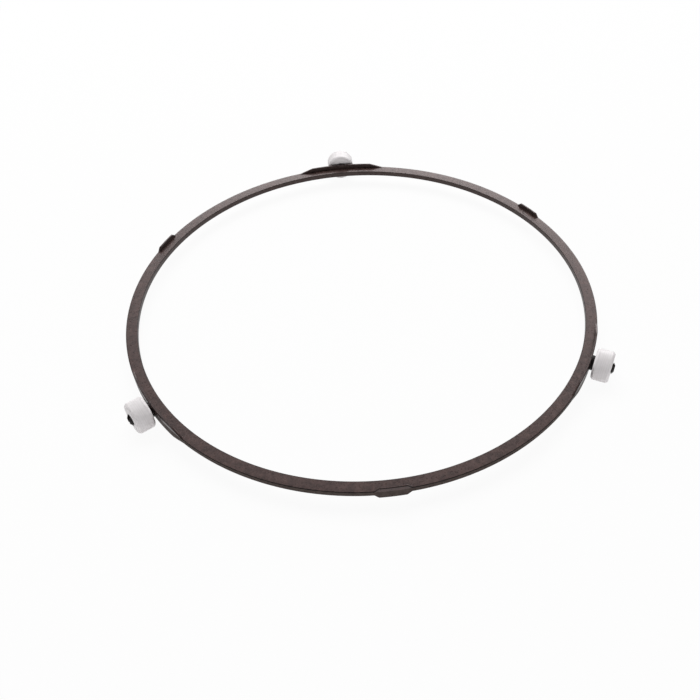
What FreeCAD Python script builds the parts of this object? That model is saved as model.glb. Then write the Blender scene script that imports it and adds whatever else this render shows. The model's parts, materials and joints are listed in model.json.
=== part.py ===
import FreeCAD, Part
import os
from FreeCAD import Vector

# Microwave roller ring: a flat moulded ring with white rollers on stub axles that point outwards.
# The ring's axis is Z, the axles lie in the plane Z = 0, and the first roller points along +Y.
# Every feature at the ring's edge is made on +X and then turned to its place. Sizes are in millimetres.

# Ring band
ring_outer_radius = 115.0
ring_width = 5.5
ring_height = 2.65
ring_edge_chamfer = 0.2

# Plates along the band's outer edge, which stand above and below it: a long one with ramped ends
# behind each roller, and a short tab with steep ends midway between the rollers
plate_thickness = 1.0
guard_base_length = 48.6
guard_crest_length = 34.0
guard_rise = 2.1
tab_base_length = 15.4
tab_crest_length = 11.6
tab_rise = 1.85

# Rollers
roller_count = 3
first_roller_angle = 90.0
roller_diameter = 14.8
roller_width = 8.1
roller_chamfer = 0.9

# Stub axles, moulded with the ring: a boss against the roller, the axle, and a split barb that snaps
# through the roller's bore
boss_length = 1.2
boss_shoulder = 1.4
boss_chamfer = 0.3
axle_diameter = 4.2
axle_root_length = 3.5
barb_catch = 0.8
barb_length = 1.05
barb_nose_diameter = 3.0
split_width = 1.5

# Fits
bore_clearance = 0.08
end_play = 0.2

# Places along an axle, measured from the ring's axis
boss_root = ring_outer_radius - plate_thickness / 2
boss_end = ring_outer_radius + boss_length
roller_inner_face = boss_end + end_play
roller_outer_face = roller_inner_face + roller_width
barb_back = roller_outer_face + end_play
axle_tip = barb_back + barb_length

ORIGIN = Vector(0, 0, 0)
X_AXIS = Vector(1, 0, 0)
Z_AXIS = Vector(0, 0, 1)


def revolved(profile, axis):
    """Full turn of a closed outline of (x, z) points about an axis through the origin."""
    points = [Vector(x, 0, z) for x, z in profile]
    face = Part.Face(Part.makePolygon(points + points[:1]))
    return face.revolve(ORIGIN, axis, 360)


def turned(shape, angle):
    """Copy of a shape, turned about the ring's axis."""
    copy = shape.copy()
    copy.rotate(ORIGIN, Z_AXIS, angle)
    return copy


def band():
    """Flat ring of rectangular section with its four edges broken."""
    inner = ring_outer_radius - ring_width
    outer = ring_outer_radius
    top = ring_height / 2
    cut = ring_edge_chamfer
    return revolved([
        (inner, cut - top), (inner + cut, -top), (outer - cut, -top), (outer, cut - top),
        (outer, top - cut), (outer - cut, top), (inner + cut, top), (inner, top - cut),
    ], Z_AXIS)


def edge_plate(base_length, crest_length, rise):
    """Thin plate flush with the band's outer wall, whose ends slope to its crests above and below."""
    band_top = ring_height / 2
    crest = band_top + rise
    upper = [(base_length / 2, band_top), (crest_length / 2, crest),
             (-crest_length / 2, crest), (-base_length / 2, band_top)]
    lower = [(y, -z) for y, z in reversed(upper)]
    outline = [Vector(0, y, z) for y, z in upper + lower]
    blank = Part.Face(Part.makePolygon(outline + outline[:1])).extrude(X_AXIS * 2 * ring_outer_radius)
    floor = Vector(0, 0, -crest)
    wall = Part.makeCylinder(ring_outer_radius, 2 * crest, floor)
    wall = wall.cut(Part.makeCylinder(ring_outer_radius - plate_thickness, 2 * crest, floor))
    return wall.common(blank)


def stub_axle():
    """Boss, axle and barb turned in one profile, then split from the nose so that the barb can spring."""
    axle_radius = axle_diameter / 2
    boss_radius = axle_radius + boss_shoulder
    barb_radius = axle_radius + barb_catch
    stub = revolved([
        (boss_root, 0), (boss_root, boss_radius), (boss_end - boss_chamfer, boss_radius),
        (boss_end, boss_radius - boss_chamfer), (boss_end, axle_radius), (barb_back, axle_radius),
        (barb_back, barb_radius), (axle_tip, barb_nose_diameter / 2), (axle_tip, 0),
    ], X_AXIS)
    split_root = boss_end + axle_root_length
    split = Part.makeBox(axle_tip - split_root + barb_length, split_width, 2 * boss_radius,
                         Vector(split_root, -split_width / 2, -boss_radius))
    return stub.cut(split)


def moulded_ring(roller_angles):
    """The whole ring moulding: band, guards, tabs and stub axles in one solid."""
    half_pitch = 180.0 / roller_count
    guard = edge_plate(guard_base_length, guard_crest_length, guard_rise)
    tab = edge_plate(tab_base_length, tab_crest_length, tab_rise)
    stub = stub_axle()
    features = []
    for angle in roller_angles:
        features.append(turned(guard, angle))
        features.append(turned(stub, angle))
        features.append(turned(tab, angle + half_pitch))
    return band().multiFuse(features).removeSplitter()


def roller():
    """Plain roller with broken rims and a bore that runs on the axle."""
    bore = axle_diameter / 2 + bore_clearance
    tread = roller_diameter / 2
    rim = tread - roller_chamfer
    return revolved([
        (roller_inner_face, bore), (roller_inner_face, rim), (roller_inner_face + roller_chamfer, tread),
        (roller_outer_face - roller_chamfer, tread), (roller_outer_face, rim), (roller_outer_face, bore),
    ], X_AXIS)


roller_angles = [first_roller_angle + 360.0 * index / roller_count for index in range(roller_count)]
nodes = {"ring": moulded_ring(roller_angles)}
for number, angle in enumerate(roller_angles, start=1):
    nodes["roller_%d" % number] = turned(roller(), angle)

os.makedirs("parts", exist_ok=True)
for name, shape in nodes.items():
    shape.exportStep("parts/%s.step" % name)
    print(name, shape.ShapeType, "solids", len(shape.Solids), "valid", shape.isValid(),
          "volume %.1f" % shape.Volume, shape.BoundBox)
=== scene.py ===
"""Microwave roller ring: the moulded ring, its white rollers and a plain studio, laid out as an add-on."""
import json
import math
from collections import namedtuple

import bmesh
import bpy
from bpy.props import FloatProperty, FloatVectorProperty, IntProperty, PointerProperty
from mathutils import Matrix, Vector


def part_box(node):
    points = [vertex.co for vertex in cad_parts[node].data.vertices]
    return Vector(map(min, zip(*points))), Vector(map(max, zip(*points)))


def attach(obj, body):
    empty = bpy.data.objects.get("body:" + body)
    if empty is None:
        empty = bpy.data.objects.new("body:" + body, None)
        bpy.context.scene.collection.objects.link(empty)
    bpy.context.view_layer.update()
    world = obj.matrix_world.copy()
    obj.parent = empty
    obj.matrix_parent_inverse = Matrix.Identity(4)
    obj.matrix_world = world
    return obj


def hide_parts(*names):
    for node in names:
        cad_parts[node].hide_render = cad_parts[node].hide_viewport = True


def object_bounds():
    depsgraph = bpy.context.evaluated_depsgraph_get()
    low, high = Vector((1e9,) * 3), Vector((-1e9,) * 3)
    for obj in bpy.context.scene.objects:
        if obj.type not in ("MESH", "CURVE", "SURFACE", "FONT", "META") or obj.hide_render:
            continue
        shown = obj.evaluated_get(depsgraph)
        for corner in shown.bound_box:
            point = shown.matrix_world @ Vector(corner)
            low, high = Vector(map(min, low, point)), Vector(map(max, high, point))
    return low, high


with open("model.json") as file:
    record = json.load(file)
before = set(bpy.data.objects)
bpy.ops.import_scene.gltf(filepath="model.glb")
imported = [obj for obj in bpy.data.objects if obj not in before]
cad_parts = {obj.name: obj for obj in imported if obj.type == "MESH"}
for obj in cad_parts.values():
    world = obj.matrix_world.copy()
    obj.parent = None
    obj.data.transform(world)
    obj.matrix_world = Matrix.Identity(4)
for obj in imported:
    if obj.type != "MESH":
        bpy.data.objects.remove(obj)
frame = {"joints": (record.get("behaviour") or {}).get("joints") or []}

bl_info = {
    "name": "Microwave roller ring",
    "version": (1, 0, 0),
    "blender": (4, 5, 0),
    "location": "3D View > Sidebar > Roller ring",
    "description": "Models the looks of a microwave roller ring over its packed solids",
    "category": "Object",
}

MM = 0.001
CAD_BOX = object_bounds()
RING_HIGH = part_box("ring")[1]
ROLLER_LOW, ROLLER_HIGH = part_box("roller_1")

# The joints' axes point out along the stub axles, and each roller is a body of its own
ROLLER_AXES = {joint["child"]: Vector(joint["axis"]) for joint in frame["joints"]}

# Points nearer than these are joined in a spun shape, or lie on a cutting plane
MERGE_DISTANCE = 0.001 * MM
CUT_TOLERANCE = 0.02 * MM


def length(name, description, default):
    """A size property in metres."""
    return FloatProperty(name=name, description=description, default=default, min=0.0,
                         subtype="DISTANCE", unit="LENGTH", precision=5)


def count(name, description, default):
    """A property for the number of faces round a shape."""
    return IntProperty(name=name, description=description, default=default, min=24)


def colour(name, description, default):
    """A linear colour property."""
    return FloatVectorProperty(name=name, description=description, default=default, min=0.0, max=1.0,
                               size=3, subtype="COLOR")


def brightness(name, description, default):
    """A property for the level of a light."""
    return FloatProperty(name=name, description=description, default=default, min=0.0)


class RollerRingSizes(bpy.types.PropertyGroup):
    """Sizes of the ring moulding and the rollers"""
    outer_radius: length("Outer radius", "Radius of the band's outer wall", RING_HIGH.x)
    band_width: length("Band width", "Radial width of the band", 5.5 * MM)
    band_height: length("Band height", "Thickness of the band", 2.65 * MM)
    edge_round: length("Edge round", "Radius of the moulding's rounded edges", 0.25 * MM)
    plate_thickness: length("Plate thickness", "Thickness of the guards and tabs", 1.0 * MM)
    plate_draft: length("Plate draft", "Lean of a plate's inner face, from foot to crest", 0.12 * MM)
    guard_rise: length("Guard rise", "Height of a guard over the band", 2.1 * MM)
    guard_base_length: length("Guard length", "Length of a guard at the band", 48.6 * MM)
    guard_crest_length: length("Guard crest length", "Length of a guard's level crest", 34.0 * MM)
    tab_rise: length("Tab rise", "Height of a tab over the band", 1.85 * MM)
    tab_base_length: length("Tab length", "Length of a tab at the band", 15.4 * MM)
    tab_crest_length: length("Tab crest length", "Length of a tab's level crest", 11.6 * MM)
    boss_radius: length("Boss radius", "Radius of the boss beside each roller", RING_HIGH.z)
    boss_end: length("Boss end", "Distance of the boss's face from the ring's axis", 116.2 * MM)
    axle_radius: length("Axle radius", "Radius of the stub axles", 2.1 * MM)
    axle_tip: length("Axle tip", "Distance of the barb's nose from the ring's axis", RING_HIGH.y)
    barb_radius: length("Barb radius", "Radius of the barb behind each roller", 2.9 * MM)
    barb_length: length("Barb length", "Length of the barb's cone", 1.05 * MM)
    barb_nose_radius: length("Barb nose", "Radius of the barb's blunt nose", 1.5 * MM)
    split_root: length("Split root", "Distance of the split's root from the ring's axis", 119.7 * MM)
    split_width: length("Split width", "Width of the split through each barb", 1.5 * MM)
    roller_radius: length("Roller radius", "Radius of the tread", ROLLER_HIGH.z)
    roller_inner_face: length("Roller inner face", "Distance from the ring's axis", ROLLER_LOW.y)
    roller_outer_face: length("Roller outer face", "Distance from the ring's axis", ROLLER_HIGH.y)
    roller_chamfer: length("Roller chamfer", "Broken rim of a roller", 0.9 * MM)
    roller_bore_radius: length("Roller bore", "Radius of the bore", 2.18 * MM)
    roller_round: length("Roller round", "Rounding of a roller's edges", 0.15 * MM)
    ring_steps: count("Ring steps", "Faces round the ring", 720)
    turned_steps: count("Turned steps", "Faces round a roller or axle", 96)


class RollerRingFinish(bpy.types.PropertyGroup):
    """Colours and grain of the two plastics, with painted shade for the stub axles and edges and a paler
    brown as painted reflection for the outer wall
    """
    brown: colour("Ring brown", "Dark brown of the ring's plastic", (0.020, 0.011, 0.010))
    brown_pale: colour("Pale brown", "Paler clouds in the ring's plastic", (0.060, 0.034, 0.030))
    gloss: colour("Gloss", "Warm tint of the ring's gloss", (1.0, 0.82, 0.81))
    inner_brown: colour("Inner wall brown", "Satin brown of the ring's inner wall", (0.028, 0.019, 0.017))
    inner_pale: colour("Pale inner wall", "Paler clouds in the ring's inner wall", (0.044, 0.031, 0.028))
    # Painted reflection: the outer wall's browns are paler than the ring's, in place of its gloss
    outer_painted_reflection_brown: colour("Outer wall brown", "Dull brown of the ring's outer wall", (0.066, 0.052, 0.048))
    outer_painted_reflection_pale: colour("Pale outer wall", "Paler clouds in the ring's outer wall", (0.098, 0.078, 0.071))
    # Painted shade: nearly black on the stub axles and as dark lines along the ring's rounded edges
    painted_shade_brown: colour("Stub brown", "Nearly black brown of the stub axles and edges", (0.006, 0.004, 0.004))
    white: colour("Roller white", "White of the rollers' plastic", (0.87, 0.835, 0.845))
    white_shade: colour("Roller shade", "Greyer clouds in the rollers' plastic", (0.80, 0.765, 0.772))
    line_shade: colour("Line shade", "Colour in the faint lines round a roller", (0.78, 0.745, 0.752))
    line_pitch: length("Line pitch", "Spacing of the faint lines round a roller", 0.8 * MM)
    grain_size: length("Grain size", "Size of the mould's fine grain", 0.9 * MM)
    grain_depth: length("Grain depth", "Depth of the grain on the ring", 0.014 * MM)
    cloud_size: length("Cloud size", "Size of the clouds in the ring's colour", 2.4 * MM)


class RollerRingStage(bpy.types.PropertyGroup):
    """Floor and light of the studio"""
    floor: colour("Floor", "Colour of the floor", (0.94, 0.94, 0.94))
    back_light: brightness("Back light", "Level of the soft box behind", 3.6)
    top_light: brightness("Top light", "Level of the soft box above", 4.35)
    front_light: brightness("Front light", "Level of the low soft box in front", 4.0)
    room_light: brightness("Room light", "Level of the light from all round", 0.46)


def new_piece(name, bm):
    """An object at the origin with a finished bmesh as its mesh."""
    mesh = bpy.data.meshes.new(name)
    bm.to_mesh(mesh)
    bm.free()
    piece = bpy.data.objects.new(name, mesh)
    bpy.context.scene.collection.objects.link(piece)
    return piece


def spun(bm, outline, axis, steps, closed=True):
    """Spins an outline of points round an axis through the origin, and closes its seam and poles."""
    verts = [bm.verts.new(point) for point in outline]
    ends = verts[1:] + verts[:1] if closed else verts[1:]
    edges = [bm.edges.new(pair) for pair in zip(verts, ends)]
    bmesh.ops.spin(bm, geom=verts + edges, cent=(0, 0, 0), axis=axis, angle=math.tau, steps=steps,
                   use_merge=True)
    bmesh.ops.remove_doubles(bm, verts=bm.verts, dist=MERGE_DISTANCE)
    bmesh.ops.recalc_face_normals(bm, faces=bm.faces)


def cut_along(bm, place, normal):
    """Cuts new edges where a plane passes through a mesh."""
    bmesh.ops.bisect_plane(bm, geom=bm.verts[:] + bm.edges[:] + bm.faces[:], dist=CUT_TOLERANCE,
                           plane_co=place, plane_no=normal)


def bevel_corners(bm, radius, beyond=0.0, corner_angle=30.0, segments=3):
    """Rounds the edges beyond a distance along +X whose faces meet at more than the corner angle."""
    corners = [edge for edge in bm.edges
               if edge.verts[0].co.x > beyond and edge.calc_face_angle(0.0) > math.radians(corner_angle)]
    bmesh.ops.bevel(bm, geom=corners, offset=radius, segments=segments, profile=0.5, affect="EDGES",
                    material=-1, clamp_overlap=True)


def smooth_shaded(piece, sharp_angle=50.0):
    """Smooth faces with crisp corners, and normals that keep the flat faces flat."""
    for face in piece.data.polygons:
        face.use_smooth = True
    piece.data.set_sharp_from_angle(angle=math.radians(sharp_angle))
    weighted = piece.modifiers.new("flat faces", "WEIGHTED_NORMAL")
    weighted.keep_sharp = True


def combine(piece, tool, operation):
    """Applies a Boolean to a piece and removes the tool."""
    boolean = piece.modifiers.new(operation.lower(), "BOOLEAN")
    boolean.object = tool
    boolean.operation = operation
    boolean.solver = "EXACT"
    graph = bpy.context.evaluated_depsgraph_get()
    made = bpy.data.meshes.new_from_object(piece.evaluated_get(graph))
    piece.modifiers.remove(boolean)
    old = piece.data
    piece.data = made
    bpy.data.meshes.remove(old)
    made.name = piece.name
    spent = tool.data
    bpy.data.objects.remove(tool)
    bpy.data.meshes.remove(spent)


def turn_to(direction):
    """Rotation about Z that takes +X to a level direction."""
    return Matrix.Rotation(math.atan2(direction.y, direction.x), 4, "Z")


# A guard or tab on the band's outer edge, with the level direction of its middle
Plate = namedtuple("Plate", "direction base_length crest_length rise")


def ring_plates(sizes):
    """A guard behind each roller, and a tab opposite each."""
    axes = ROLLER_AXES.values()
    guards = [Plate(axis, sizes.guard_base_length, sizes.guard_crest_length, sizes.guard_rise)
              for axis in axes]
    tabs = [Plate(-axis, sizes.tab_base_length, sizes.tab_crest_length, sizes.tab_rise)
            for axis in axes]
    return guards + tabs


def plate_share(point, plate):
    """How far a plate has risen at a point: 0 off its ends, 1 along its crest."""
    if point.dot(plate.direction) < 0:
        return 0.0
    along = abs(point.x * plate.direction.y - point.y * plate.direction.x)
    ramp_length = (plate.base_length - plate.crest_length) / 2
    share = (plate.base_length / 2 - along) / ramp_length
    return min(1.0, max(0.0, share))


def band_section(sizes):
    """Half of the band's section, from the inner wall over the top to the outer wall.

    Each point is (radius, height, drop). Points with a drop rise where a plate stands, and stay that far
    under its crest, so that the crest is rounded too.
    """
    top = sizes.band_height / 2
    outer = sizes.outer_radius
    inner = outer - sizes.band_width
    edge = sizes.edge_round
    cut = edge * (1 - math.cos(math.pi / 4))
    plate = outer - sizes.plate_thickness
    return [
        (inner, top - edge, None), (inner + cut, top - cut, None), (inner + edge, top, None),
        (plate - sizes.plate_draft, top, None),
        (plate, top, edge), (plate + cut, top, cut), (plate + edge, top, 0.0),
        (outer - edge, top, 0.0), (outer - cut, top - cut, 0.0), (outer, top - edge, 0.0),
    ]


def spun_band(sizes):
    """The band spun from its section, with its guards and tabs raised from the top and bottom faces."""
    bm = bmesh.new()
    upper = band_section(sizes)
    lower = [(radius, -height, drop) for radius, height, drop in reversed(upper)]
    spun(bm, [(radius, 0, height) for radius, height, _ in upper + lower], (0, 0, 1), sizes.ring_steps)
    plates = ring_plates(sizes)
    for plate in plates:
        for half_length in (plate.base_length / 2, plate.crest_length / 2):
            for side in (-1, 1):
                turn = Matrix.Rotation(side * math.asin(half_length / sizes.outer_radius), 3, "Z")
                cut_along(bm, (0, 0, 0), (turn @ plate.direction).cross(Vector((0, 0, 1))))
    for vert in bm.verts:
        _, _, drop = min(upper, key=lambda point: abs(point[0] - vert.co.xy.length))
        if drop is None:
            continue
        for plate in plates:
            lift = plate_share(vert.co, plate) * (plate.rise - drop)
            vert.co.z += math.copysign(lift, vert.co.z)
    # The outer wall turns from the glossy plastic to its dull brown with painted reflection at the upper
    # plates' feet
    cut_along(bm, (0, 0, sizes.band_height / 2 - sizes.edge_round), (0, 0, 1))
    return new_piece("ring_moulding", bm)


def stub_axle(sizes, name, direction):
    """Boss, axle and barb turned round +X, split from the nose, and turned to their direction."""
    bm = bmesh.new()
    root = sizes.outer_radius - sizes.plate_thickness / 2
    barb_back = sizes.axle_tip - sizes.barb_length
    spun(bm, [
        (root, 0, 0), (root, 0, sizes.boss_radius), (sizes.boss_end, 0, sizes.boss_radius),
        (sizes.boss_end, 0, sizes.axle_radius), (barb_back, 0, sizes.axle_radius),
        (barb_back, 0, sizes.barb_radius), (sizes.axle_tip, 0, sizes.barb_nose_radius),
        (sizes.axle_tip, 0, 0),
    ], (1, 0, 0), sizes.turned_steps, closed=False)
    bevel_corners(bm, sizes.edge_round, beyond=sizes.outer_radius)
    stub = new_piece(name, bm)
    slot = bmesh.new()
    bmesh.ops.create_cube(slot, size=1.0)
    reach = 2 * (sizes.axle_tip - sizes.split_root)
    slot.transform(Matrix.Translation((sizes.axle_tip, 0, 0))
                   @ Matrix.Diagonal((reach, sizes.split_width, 2 * sizes.boss_radius, 1.0)))
    combine(stub, new_piece(name + "_split", slot), "DIFFERENCE")
    stub.data.transform(turn_to(direction))
    return stub


def roller_piece(sizes, name, direction):
    """One roller: rims, tread and bore turned round +X, with rounded edges, then turned to its direction."""
    bm = bmesh.new()
    inner = sizes.roller_inner_face
    outer = sizes.roller_outer_face
    tread = sizes.roller_radius
    chamfer = sizes.roller_chamfer
    bore = sizes.roller_bore_radius
    spun(bm, [
        (inner, 0, bore), (inner, 0, tread - chamfer), (inner + chamfer, 0, tread),
        (outer - chamfer, 0, tread), (outer, 0, tread - chamfer), (outer, 0, bore),
    ], (1, 0, 0), sizes.turned_steps)
    bevel_corners(bm, sizes.roller_round)
    bm.transform(turn_to(direction))
    return new_piece(name, bm)


# Noise of the plastics: how finely it is broken up, and how strong its finest part is
GRAIN_DETAIL = 3.0
CLOUD_DETAIL = 5.0
LINE_DETAIL = 2.0
NOISE_ROUGHNESS = 0.62


def moulded_grain_group():
    """Shared effect: the fine grain of a moulded face and slow clouds in its colour."""
    group = bpy.data.node_groups.get("moulded grain")
    if group:
        return group
    group = bpy.data.node_groups.new("moulded grain", "ShaderNodeTree")
    for name in ("Grain Scale", "Cloud Scale"):
        group.interface.new_socket(name, in_out="INPUT", socket_type="NodeSocketFloat")
    for name in ("Grain", "Cloud"):
        group.interface.new_socket(name, in_out="OUTPUT", socket_type="NodeSocketFloat")
    inputs = group.nodes.new("NodeGroupInput")
    outputs = group.nodes.new("NodeGroupOutput")
    place = group.nodes.new("ShaderNodeTexCoord")
    for name, detail in (("Grain", GRAIN_DETAIL), ("Cloud", CLOUD_DETAIL)):
        noise = group.nodes.new("ShaderNodeTexNoise")
        noise.inputs["Detail"].default_value = detail
        noise.inputs["Roughness"].default_value = NOISE_ROUGHNESS
        group.links.new(place.outputs["Object"], noise.inputs["Vector"])
        group.links.new(inputs.outputs[name + " Scale"], noise.inputs["Scale"])
        group.links.new(noise.outputs["Fac"], outputs.inputs[name])
    return group


class Plastic:
    """One plastic's material: its grain, and the nodes that turn masks into colour, roughness and bump."""

    def __init__(self, name, grain_size, cloud_size, specular):
        self.material = bpy.data.materials.new(name)
        self.material.use_nodes = True
        self.nodes = self.material.node_tree.nodes
        self.links = self.material.node_tree.links
        self.shader = self.nodes["Principled BSDF"]
        self.shader.inputs["Specular IOR Level"].default_value = specular
        self.grain = self.nodes.new("ShaderNodeGroup")
        self.grain.node_tree = moulded_grain_group()
        self.grain.inputs["Grain Scale"].default_value = 1.0 / grain_size
        self.grain.inputs["Cloud Scale"].default_value = 1.0 / cloud_size
        self.bump = self.bumped(self.grain.outputs["Grain"])
        self.links.new(self.bump.outputs["Normal"], self.shader.inputs["Normal"])

    def bumped(self, height):
        """A bump node for a height mask."""
        node = self.nodes.new("ShaderNodeBump")
        self.links.new(height, node.inputs["Height"])
        return node

    def stretched(self, mask, low, high, start=0.0, end=1.0):
        """A mask's range from low to high, stretched to run from start to end."""
        node = self.nodes.new("ShaderNodeMapRange")
        node.inputs["From Min"].default_value = low
        node.inputs["From Max"].default_value = high
        node.inputs["To Min"].default_value = start
        node.inputs["To Max"].default_value = end
        self.links.new(mask, node.inputs["Value"])
        return node.outputs["Result"]

    def toned(self, share, tone):
        """Mixes a tone into the shader's colour by a mask, and returns the socket for the colour under it."""
        node = self.nodes.new("ShaderNodeMix")
        node.data_type = "RGBA"
        factor, under, over = [socket for socket in node.inputs if socket.enabled]
        self.links.new(share, factor)
        over.default_value = (*tone, 1.0)
        result = next(socket for socket in node.outputs if socket.enabled)
        self.links.new(result, self.shader.inputs["Base Color"])
        return under

    def clouded(self, base, cloud, low=0.36, high=0.66):
        """Base colour that drifts to a second colour in clouds."""
        under = self.toned(self.stretched(self.grain.outputs["Cloud"], low, high), cloud)
        under.default_value = (*base, 1.0)

    def grained(self, smooth, rough, depth, low=0.3, high=0.7):
        """Roughness and bump from the grain."""
        roughness = self.stretched(self.grain.outputs["Grain"], low, high, smooth, rough)
        self.links.new(roughness, self.shader.inputs["Roughness"])
        self.bump.inputs["Distance"].default_value = depth

    def lined(self, shade, pitch, depth, low=0.45, high=0.65):
        """Fine turned lines by distance from the ring's axis, over the clouds and under the grain."""
        place = self.nodes.new("ShaderNodeTexCoord")
        level = self.nodes.new("ShaderNodeVectorMath")
        level.operation = "MULTIPLY"
        level.inputs[1].default_value = (1.0, 1.0, 0.0)
        self.links.new(place.outputs["Object"], level.inputs[0])
        radius = self.nodes.new("ShaderNodeVectorMath")
        radius.operation = "LENGTH"
        self.links.new(level.outputs["Vector"], radius.inputs[0])
        noise = self.nodes.new("ShaderNodeTexNoise")
        noise.noise_dimensions = "1D"
        noise.inputs["Scale"].default_value = 1.0 / pitch
        noise.inputs["Detail"].default_value = LINE_DETAIL
        self.links.new(radius.outputs["Value"], noise.inputs["W"])
        lines = noise.outputs["Fac"]
        bump = self.bumped(lines)
        bump.inputs["Distance"].default_value = depth
        self.links.new(bump.outputs["Normal"], self.bump.inputs["Normal"])
        clouds = self.shader.inputs["Base Color"].links[0].from_socket
        under = self.toned(self.stretched(lines, low, high), shade)
        self.links.new(clouds, under)


def ring_plastic(finish):
    """Semi-gloss dark brown plastic with fine mould grain and cloudy patches."""
    plastic = Plastic("ring_plastic", finish.grain_size, finish.cloud_size, specular=0.5)
    plastic.shader.inputs["Specular Tint"].default_value = (*finish.gloss, 1.0)
    plastic.clouded(finish.brown, finish.brown_pale)
    plastic.grained(smooth=0.22, rough=0.44, depth=finish.grain_depth)
    return plastic.material


def inner_plastic(finish):
    """The same plastic with the satin finish of the inner wall."""
    plastic = Plastic("inner_wall_plastic", finish.grain_size, finish.cloud_size, specular=0.36)
    plastic.shader.inputs["Specular Tint"].default_value = (*finish.gloss, 1.0)
    plastic.clouded(finish.inner_brown, finish.inner_pale)
    plastic.grained(smooth=0.30, rough=0.45, depth=finish.grain_depth)
    return plastic.material


def outer_painted_reflection_plastic(finish):
    """The same plastic on the outer wall, with its gloss turned down so that it shines only along the wall,
    and a paler brown in its place as painted reflection.
    """
    plastic = Plastic("outer_wall_painted_reflection", finish.grain_size, finish.cloud_size, specular=0.003)
    plastic.clouded(finish.outer_painted_reflection_brown, finish.outer_painted_reflection_pale)
    plastic.grained(smooth=0.20, rough=0.30, depth=finish.grain_depth)
    return plastic.material


def painted_shade_plastic(finish):
    """Painted shade: the same plastic turned dull and nearly black on the stub axles, and as dark lines along
    the ring's rounded edges.
    """
    plastic = Plastic("painted_shade_plastic", finish.grain_size, cloud_size=3.0 * MM, specular=0.2)
    plastic.clouded(finish.painted_shade_brown, finish.brown, low=0.45, high=0.95)
    plastic.grained(smooth=0.45, rough=0.60, depth=0.008 * MM)
    return plastic.material


def roller_plastic(finish):
    """Satin white plastic with greyer clouds and faint lines round the tread."""
    plastic = Plastic("roller_plastic", finish.grain_size, cloud_size=4.0 * MM, specular=0.5)
    plastic.clouded(finish.white, finish.white_shade, low=0.40, high=0.75)
    plastic.grained(smooth=0.38, rough=0.50, depth=0.006 * MM)
    plastic.lined(finish.line_shade, finish.line_pitch, depth=0.012 * MM)
    return plastic.material


RING_PLASTICS = [ring_plastic, inner_plastic, outer_painted_reflection_plastic, painted_shade_plastic]

# Share of a face's normal that points along the radius: the least on an edge, on an inner wall with the
# steep half of its edge, and on an outer wall
EDGE_FACING = 0.3
INNER_WALL_FACING = 0.65
OUTER_WALL_FACING = 0.95


def ring_face_plastic(face, sizes):
    """Which of the ring's plastics a face has, by where it is and which way it points: painted shade on the
    stub axles and the rounded edges, and the paler brown of painted reflection on the outer wall.
    """
    radius = face.center.xy.length
    outwards = face.normal.xy.dot(face.center.xy) / radius
    if radius > sizes.outer_radius:
        return painted_shade_plastic
    if outwards < -INNER_WALL_FACING:
        return inner_plastic
    if abs(outwards) < EDGE_FACING:
        return ring_plastic
    if outwards < OUTER_WALL_FACING:
        return painted_shade_plastic
    return ring_plastic if face.center.z > sizes.band_height / 2 else outer_painted_reflection_plastic


class ROLLERRING_OT_ring(bpy.types.Operator):
    """Model the ring moulding with its guards, tabs and stub axles"""
    bl_idname = "roller_ring.ring"
    bl_label = "Ring moulding"

    def execute(self, context):
        sizes = context.scene.roller_ring_sizes
        finish = context.scene.roller_ring_finish
        ring = spun_band(sizes)
        for body, direction in ROLLER_AXES.items():
            combine(ring, stub_axle(sizes, body + "_stub", direction), "UNION")
        smooth_shaded(ring)
        for plastic in RING_PLASTICS:
            ring.data.materials.append(plastic(finish))
        # The stubs and rounded edges get painted shade, and the outer wall under the plates a painted
        # reflection
        for face in ring.data.polygons:
            face.material_index = RING_PLASTICS.index(ring_face_plastic(face, sizes))
        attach(ring, "ring")
        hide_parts("ring")
        return {"FINISHED"}


class ROLLERRING_OT_rollers(bpy.types.Operator):
    """Model the white rollers on their axles"""
    bl_idname = "roller_ring.rollers"
    bl_label = "Rollers"

    def execute(self, context):
        plastic = roller_plastic(context.scene.roller_ring_finish)
        for body, direction in ROLLER_AXES.items():
            roller = roller_piece(context.scene.roller_ring_sizes, body + "_moulding", direction)
            smooth_shaded(roller)
            roller.data.materials.append(plastic)
            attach(roller, body)
            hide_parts(body)
        return {"FINISHED"}


# Camera of the photograph, in the part's frame, with its angles in degrees
CAMERA_PLACE = Vector((-23.1, -295.8, 273.4)) * MM
CAMERA_TURN = -6.87
CAMERA_PITCH = 46.31
CAMERA_ROLL = -0.91
CAMERA_LENS = 41.51
CAMERA_SHIFT = -0.0543
CAMERA_NEAREST = 0.01

# Studio, in metres: a white floor, a soft box behind for the sheen, soft boxes above and low in front for
# the even light, and a dark flag over the camera
SoftBox = namedtuple("SoftBox", "place width height")
FLOOR_SIZE = 4.4
FLOOR_ROUGHNESS = 0.9
FLOOR_GLOW = 0.94
WHITE_LEVEL = 0.98
BACK_BOX = SoftBox(Vector((0.42, 1.42, 0.64)), 2.1, 0.80)
TOP_BOX = SoftBox(Vector((0.0, 0.80, 1.25)), 1.4, 0.9)
FRONT_BOX = SoftBox(Vector((0.0, -2.8, 0.56)), 4.0, 0.9)
FLAG_PLACE = Vector((0.0, -0.55, 0.83))
FLAG_WIDTH = 2.2
FLAG_HEIGHT = 1.8
FLAG_COLOUR = (0.03, 0.03, 0.03)


def placed_facing_part(place):
    """Placement at a point, with -Z turned towards the part."""
    return Matrix.Translation(place) @ (-place).to_track_quat("-Z", "Y").to_matrix().to_4x4()


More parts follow.
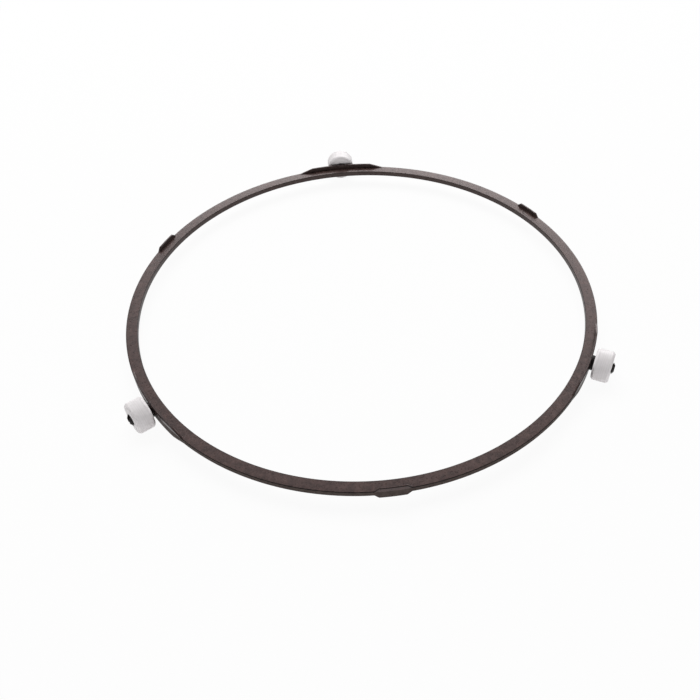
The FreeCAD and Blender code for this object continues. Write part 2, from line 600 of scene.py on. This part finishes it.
def photo_camera():
    """Camera at the photograph's place, pitch and roll."""
    data = bpy.data.cameras.new("photo_camera")
    data.lens = CAMERA_LENS
    data.shift_x = CAMERA_SHIFT
    data.clip_start = CAMERA_NEAREST
    camera = bpy.data.objects.new("photo_camera", data)
    turn = Matrix.Rotation(math.radians(CAMERA_TURN), 4, "Z")
    pitch = Matrix.Rotation(math.radians(90.0 - CAMERA_PITCH), 4, "X")
    roll = Matrix.Rotation(math.radians(CAMERA_ROLL), 4, "Z")
    camera.matrix_world = Matrix.Translation(CAMERA_PLACE) @ turn @ pitch @ roll
    bpy.context.scene.collection.objects.link(camera)
    bpy.context.scene.camera = camera


def seen_share(tree, unseen, seen):
    """One value for the light that a background gives the part, and another for the rays that look at it."""
    path = tree.nodes.new("ShaderNodeLightPath")
    looks = path.outputs["Is Camera Ray"]
    for name in ("Is Glossy Ray", "Is Transmission Ray"):
        either = tree.nodes.new("ShaderNodeMath")
        either.operation = "MAXIMUM"
        tree.links.new(looks, either.inputs[0])
        tree.links.new(path.outputs[name], either.inputs[1])
        looks = either.outputs["Value"]
    share = tree.nodes.new("ShaderNodeMapRange")
    share.inputs["To Min"].default_value = unseen
    share.inputs["To Max"].default_value = seen
    tree.links.new(looks, share.inputs["Value"])
    return share.outputs["Result"]


def floor_material(stage):
    """White floor that keeps a faint shadow of the part."""
    material = bpy.data.materials.new("white_floor")
    material.use_nodes = True
    nodes = material.node_tree.nodes
    links = material.node_tree.links
    paint = nodes["Principled BSDF"]
    paint.inputs["Base Color"].default_value = (*stage.floor, 1.0)
    paint.inputs["Roughness"].default_value = FLOOR_ROUGHNESS
    paint.inputs["Specular IOR Level"].default_value = 0.0
    glow = nodes.new("ShaderNodeEmission")
    mixed = nodes.new("ShaderNodeMixShader")
    links.new(seen_share(material.node_tree, 0.0, FLOOR_GLOW), mixed.inputs["Fac"])
    links.new(paint.outputs["BSDF"], mixed.inputs[1])
    links.new(glow.outputs["Emission"], mixed.inputs[2])
    links.new(mixed.outputs["Shader"], nodes["Material Output"].inputs["Surface"])
    return material


def white_floor(stage):
    """Large plane that the rollers stand on."""
    bm = bmesh.new()
    bmesh.ops.create_grid(bm, x_segments=1, y_segments=1, size=FLOOR_SIZE / 2)
    bm.transform(Matrix.Translation((0, 0, CAD_BOX[0].z)))
    floor = new_piece("white_floor", bm)
    floor.data.materials.append(floor_material(stage))


def dark_flag():
    """Dark panel over the camera, unseen itself, which keeps the light off the camera's side of the part."""
    bm = bmesh.new()
    bmesh.ops.create_grid(bm, x_segments=1, y_segments=1, size=0.5)
    bm.transform(placed_facing_part(FLAG_PLACE) @ Matrix.Diagonal((FLAG_WIDTH, FLAG_HEIGHT, 1.0, 1.0)))
    flag = new_piece("dark_flag", bm)
    flag.visible_camera = False
    material = bpy.data.materials.new("dark_flag")
    material.use_nodes = True
    cloth = material.node_tree.nodes["Principled BSDF"]
    cloth.inputs["Base Color"].default_value = (*FLAG_COLOUR, 1.0)
    cloth.inputs["Roughness"].default_value = 1.0
    flag.data.materials.append(material)


def soft_box(name, box, level, sheen=False):
    """Rectangular light that faces the part, as bright at one level whatever its size.

    A sheen box shows only in the part's gloss, and the others give only the even light.
    """
    data = bpy.data.lights.new(name, "AREA")
    data.shape = "RECTANGLE"
    data.size = box.width
    data.size_y = box.height
    data.energy = level * math.pi * box.width * box.height
    light = bpy.data.objects.new(name, data)
    light.matrix_world = placed_facing_part(box.place)
    light.visible_camera = False
    light.visible_glossy = sheen
    light.visible_diffuse = not sheen
    bpy.context.scene.collection.objects.link(light)


def studio_world(stage):
    """White surroundings that give an even, dimmer light."""
    world = bpy.data.worlds.new("white_studio")
    world.use_nodes = True
    background = world.node_tree.nodes["Background"]
    background.inputs["Color"].default_value = (1.0, 1.0, 1.0, 1.0)
    share = seen_share(world.node_tree, stage.room_light, WHITE_LEVEL)
    world.node_tree.links.new(share, background.inputs["Strength"])
    bpy.context.scene.world = world


class ROLLERRING_OT_stage(bpy.types.Operator):
    """Set up the white floor, the soft light and the camera"""
    bl_idname = "roller_ring.stage"
    bl_label = "Stage"

    def execute(self, context):
        stage = context.scene.roller_ring_stage
        context.scene.view_settings.view_transform = "Standard"
        studio_world(stage)
        white_floor(stage)
        dark_flag()
        soft_box("back_soft_box", BACK_BOX, stage.back_light, sheen=True)
        soft_box("top_soft_box", TOP_BOX, stage.top_light)
        soft_box("front_soft_box", FRONT_BOX, stage.front_light)
        photo_camera()
        return {"FINISHED"}


OPERATORS = (ROLLERRING_OT_ring, ROLLERRING_OT_rollers, ROLLERRING_OT_stage)


class ROLLERRING_PT_panel(bpy.types.Panel):
    """Lists the steps that build the roller ring, and its sizes, colours and light"""
    bl_idname = "ROLLERRING_PT_panel"
    bl_label = "Roller ring"
    bl_space_type = "VIEW_3D"
    bl_region_type = "UI"
    bl_category = "Roller ring"

    def draw(self, context):
        scene = context.scene
        for operator in OPERATORS:
            self.layout.operator(operator.bl_idname)
        for group in (scene.roller_ring_sizes, scene.roller_ring_finish, scene.roller_ring_stage):
            box = self.layout.box()
            for name in group.__annotations__:
                box.prop(group, name)


CLASSES = (RollerRingSizes, RollerRingFinish, RollerRingStage, *OPERATORS, ROLLERRING_PT_panel)


def register():
    """Adds the classes and the scene's properties to Blender."""
    for cls in CLASSES:
        bpy.utils.register_class(cls)
    bpy.types.Scene.roller_ring_sizes = PointerProperty(type=RollerRingSizes)
    bpy.types.Scene.roller_ring_finish = PointerProperty(type=RollerRingFinish)
    bpy.types.Scene.roller_ring_stage = PointerProperty(type=RollerRingStage)


def unregister():
    """Removes the scene's properties and the classes again."""
    del bpy.types.Scene.roller_ring_stage
    del bpy.types.Scene.roller_ring_finish
    del bpy.types.Scene.roller_ring_sizes
    for cls in reversed(CLASSES):
        bpy.utils.unregister_class(cls)


def main():
    """Builds the ring, the rollers and the stage."""
    register()
    bpy.ops.roller_ring.ring()
    bpy.ops.roller_ring.rollers()
    bpy.ops.roller_ring.stage()


if __name__ == "__main__":
    main()
